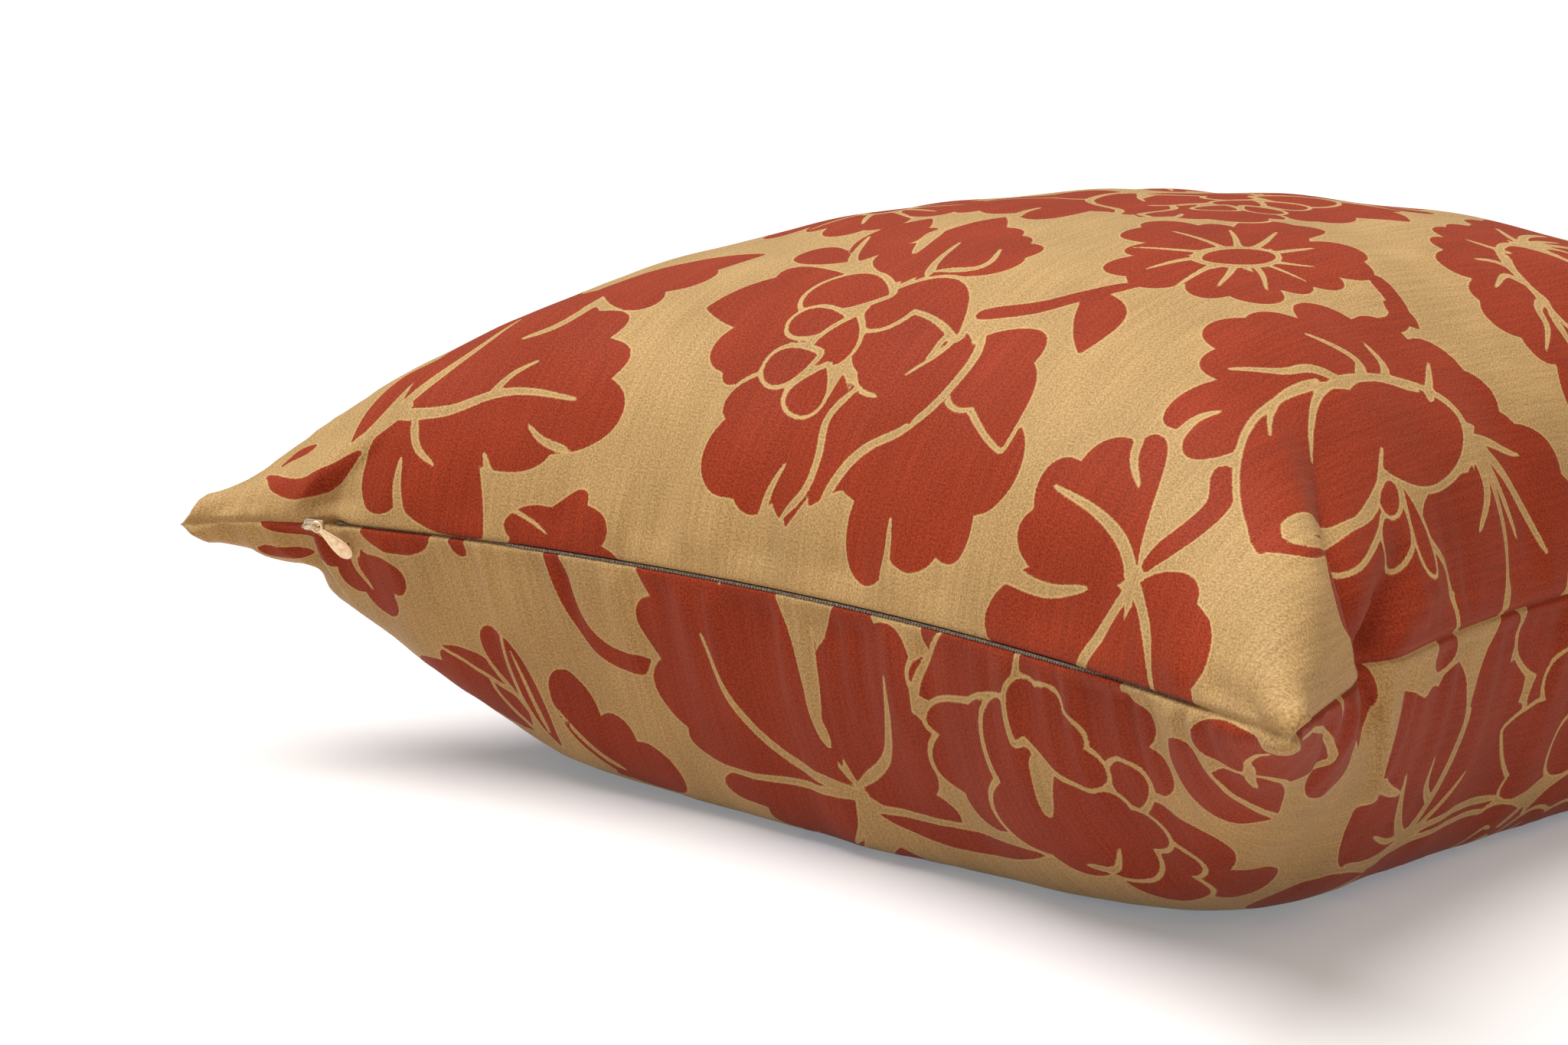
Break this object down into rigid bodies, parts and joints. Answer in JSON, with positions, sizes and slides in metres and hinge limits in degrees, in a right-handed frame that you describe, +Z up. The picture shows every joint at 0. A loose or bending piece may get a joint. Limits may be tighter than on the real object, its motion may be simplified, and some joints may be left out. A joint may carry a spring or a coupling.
{
  "type": "cushion cover",
  "caption": "Square cushion cover with a zip along one side, filled, with a crown, drawn-in sides and pointed corners, lying on its back panel.",
  "frame": {"origin": "under the middle of the cushion, on the surface that it lies on", "axes": "+Z up through the crown, -Y towards the zip side, +X along the zip from its slider to its far end"},
  "size_m": [0.4168, 0.4167, 0.1707],
  "materials": {
    "cover_cloth": "gold satin ground with woven brick-red flowers and leaves, soft sheen",
    "zip_tape": "grey-taupe woven tape edge over closed coil teeth",
    "zip_metal": "pale metal, lightly dulled",
    "zip_pull": "cream-gold lacquer, satin"
  },
  "bodies": {
    "root": {"cushion_cover": "cover_cloth", "zip_tape": "zip_tape", "zip_slider": "zip_metal", "zip_pull": "zip_pull"}
  },
  "joints": []
}
